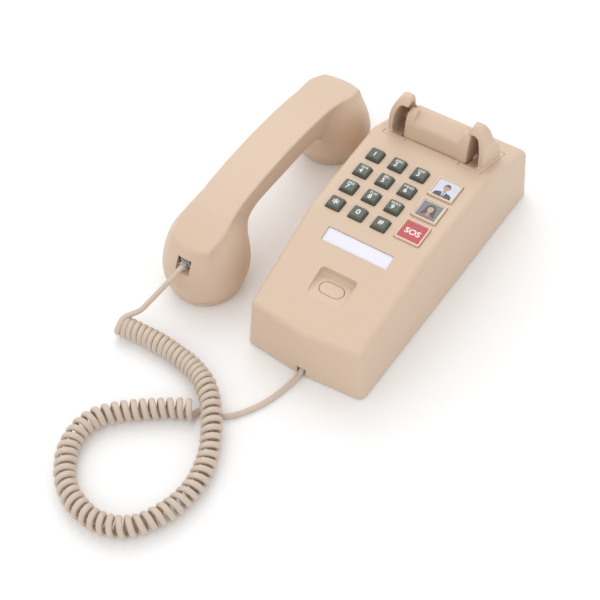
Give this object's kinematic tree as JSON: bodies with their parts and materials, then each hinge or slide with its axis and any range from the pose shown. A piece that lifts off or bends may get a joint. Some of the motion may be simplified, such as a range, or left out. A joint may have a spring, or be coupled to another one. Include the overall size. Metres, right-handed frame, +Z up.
{
  "type": "corded landline phone",
  "caption": "Slim push-button desk telephone with a hooded cradle and rocking hook, round-cup handset laid beside it and a curly cord looped in front.",
  "frame": {"origin": "middle of the footprint of the base unit and the handset together (cord left out), at table level", "axes": "+X to the right across the keypad, from the handset to the base unit; +Y from the front of the base unit to its cradle end; +Z up, away from the table"},
  "size_m": [0.1861, 0.406, 0.0986],
  "materials": {
    "beige_plastic": "satin moulded ABS, warm beige",
    "key_plastic": "satin dark green-grey",
    "dark_plastic": "matte black",
    "pale_plastic": "matte off-white",
    "clear_plastic": "clear polished",
    "plug_plastic": "translucent polycarbonate",
    "printed_card": "printed card",
    "red_card": "printed card, red",
    "white_card": "blank white card",
    "steel": "zinc plated",
    "circuit_board": "green solder mask",
    "grey_rubber": "silicone",
    "black_rubber": "matte",
    "cord_sheath": "soft PVC sheath, greyish beige"
  },
  "bodies": {
    "base": {"housing": "beige_plastic", "base_plate": "dark_plastic", "cradle_bezel": "beige_plastic", "hook_pin": "steel", "hook_spring": "steel", "hook_switch": "dark_plastic", "main_board": "circuit_board", "board_screws": "steel", "keypad_board": "circuit_board", "keypad_mat": "grey_rubber", "number_card": "white_card", "card_window": "clear_plastic", "ringer": "dark_plastic", "line_jack": "pale_plastic", "cord_jack": "dark_plastic", "rubber_feet": "black_rubber", "base_screws": "steel", "base_plug": "plug_plastic", "cord_lead_handset": "cord_sheath", "cord_coil": "cord_sheath", "cord_lead_base": "cord_sheath"},
    "hook": {"hook_saddle": "beige_plastic"},
    "plunger": {"switch_plunger": "pale_plastic"},
    "memory_1": {"memory_key_1": "beige_plastic", "picture_card_1": "printed_card", "key_cover_1": "clear_plastic"},
    "memory_2": {"memory_key_2": "beige_plastic", "picture_card_2": "printed_card", "key_cover_2": "clear_plastic"},
    "sos": {"sos_key": "beige_plastic", "sos_card": "red_card", "sos_cover": "clear_plastic"},
    "flash": {"flash_button": "beige_plastic"},
    "handset": {"handset_shell": "beige_plastic", "receiver_cap": "beige_plastic", "transmitter_cap": "beige_plastic", "receiver_capsule": "dark_plastic", "transmitter_capsule": "dark_plastic", "handset_jack": "dark_plastic", "handset_plug": "plug_plastic"},
    "push_key_1": {"key_1": "key_plastic"},
    "push_key_2": {"key_2": "key_plastic"},
    "push_key_3": {"key_3": "key_plastic"},
    "push_key_4": {"key_4": "key_plastic"},
    "push_key_5": {"key_5": "key_plastic"},
    "push_key_6": {"key_6": "key_plastic"},
    "push_key_7": {"key_7": "key_plastic"},
    "push_key_8": {"key_8": "key_plastic"},
    "push_key_9": {"key_9": "key_plastic"},
    "push_key_star": {"key_star": "key_plastic"},
    "push_key_0": {"key_0": "key_plastic"},
    "push_key_hash": {"key_hash": "key_plastic"}
  },
  "joints": [
    {"name": "press_key_1", "type": "slide", "parent": "base", "child": "push_key_1", "axis": [0, 0, -1], "range_m": [0, 0.0018], "stiffness_N_per_m": 300, "springref_m": -0.001},
    {"name": "press_key_2", "type": "slide", "parent": "base", "child": "push_key_2", "axis": [0, 0, -1], "range_m": [0, 0.0018], "stiffness_N_per_m": 300, "springref_m": -0.001},
    {"name": "press_key_3", "type": "slide", "parent": "base", "child": "push_key_3", "axis": [0, 0, -1], "range_m": [0, 0.0018], "stiffness_N_per_m": 300, "springref_m": -0.001},
    {"name": "press_key_4", "type": "slide", "parent": "base", "child": "push_key_4", "axis": [0, 0, -1], "range_m": [0, 0.0018], "stiffness_N_per_m": 300, "springref_m": -0.001},
    {"name": "press_key_5", "type": "slide", "parent": "base", "child": "push_key_5", "axis": [0, 0, -1], "range_m": [0, 0.0018], "stiffness_N_per_m": 300, "springref_m": -0.001},
    {"name": "press_key_6", "type": "slide", "parent": "base", "child": "push_key_6", "axis": [0, 0, -1], "range_m": [0, 0.0018], "stiffness_N_per_m": 300, "springref_m": -0.001},
    {"name": "press_key_7", "type": "slide", "parent": "base", "child": "push_key_7", "axis": [0, 0, -1], "range_m": [0, 0.0018], "stiffness_N_per_m": 300, "springref_m": -0.001},
    {"name": "press_key_8", "type": "slide", "parent": "base", "child": "push_key_8", "axis": [0, 0, -1], "range_m": [0, 0.0018], "stiffness_N_per_m": 300, "springref_m": -0.001},
    {"name": "press_key_9", "type": "slide", "parent": "base", "child": "push_key_9", "axis": [0, 0, -1], "range_m": [0, 0.0018], "stiffness_N_per_m": 300, "springref_m": -0.001},
    {"name": "press_key_star", "type": "slide", "parent": "base", "child": "push_key_star", "axis": [0, 0, -1], "range_m": [0, 0.0018], "stiffness_N_per_m": 300, "springref_m": -0.001},
    {"name": "press_key_0", "type": "slide", "parent": "base", "child": "push_key_0", "axis": [0, 0, -1], "range_m": [0, 0.0018], "stiffness_N_per_m": 300, "springref_m": -0.001},
    {"name": "press_key_hash", "type": "slide", "parent": "base", "child": "push_key_hash", "axis": [0, 0, -1], "range_m": [0, 0.0018], "stiffness_N_per_m": 300, "springref_m": -0.001},
    {"name": "press_memory_1", "type": "slide", "parent": "base", "child": "memory_1", "axis": [0, 0, -1], "range_m": [0, 0.0015], "stiffness_N_per_m": 350, "springref_m": -0.001},
    {"name": "press_memory_2", "type": "slide", "parent": "base", "child": "memory_2", "axis": [0, 0, -1], "range_m": [0, 0.0015], "stiffness_N_per_m": 350, "springref_m": -0.001},
    {"name": "press_sos", "type": "slide", "parent": "base", "child": "sos", "axis": [0, 0, -1], "range_m": [0, 0.0015], "stiffness_N_per_m": 350, "springref_m": -0.001},
    {"name": "press_flash", "type": "slide", "parent": "base", "child": "flash", "axis": [0, 0, -1], "range_m": [0, 0.0012], "stiffness_N_per_m": 350, "springref_m": -0.001},
    {"name": "hook_rock", "type": "hinge", "parent": "base", "child": "hook", "pos_m": [0.04005, 0.07975, 0.066], "axis": [1, 0, 0], "range_deg": [0, 12], "stiffness_Nm_per_rad": 0.05, "springref_deg": -17.19},
    {"name": "plunger_drop", "type": "slide", "parent": "base", "child": "plunger", "axis": [0, 0, -1], "range_m": [0, 0.0042]},
    {"name": "handset_lift", "type": "slide", "parent": "base", "child": "handset", "axis": [0, 0, 1], "range_m": [0, 0.15]}
  ],
  "couplings": [
    {"joint": "plunger_drop", "follows": "hook_rock", "m_per_rad": 0.019}
  ]
}
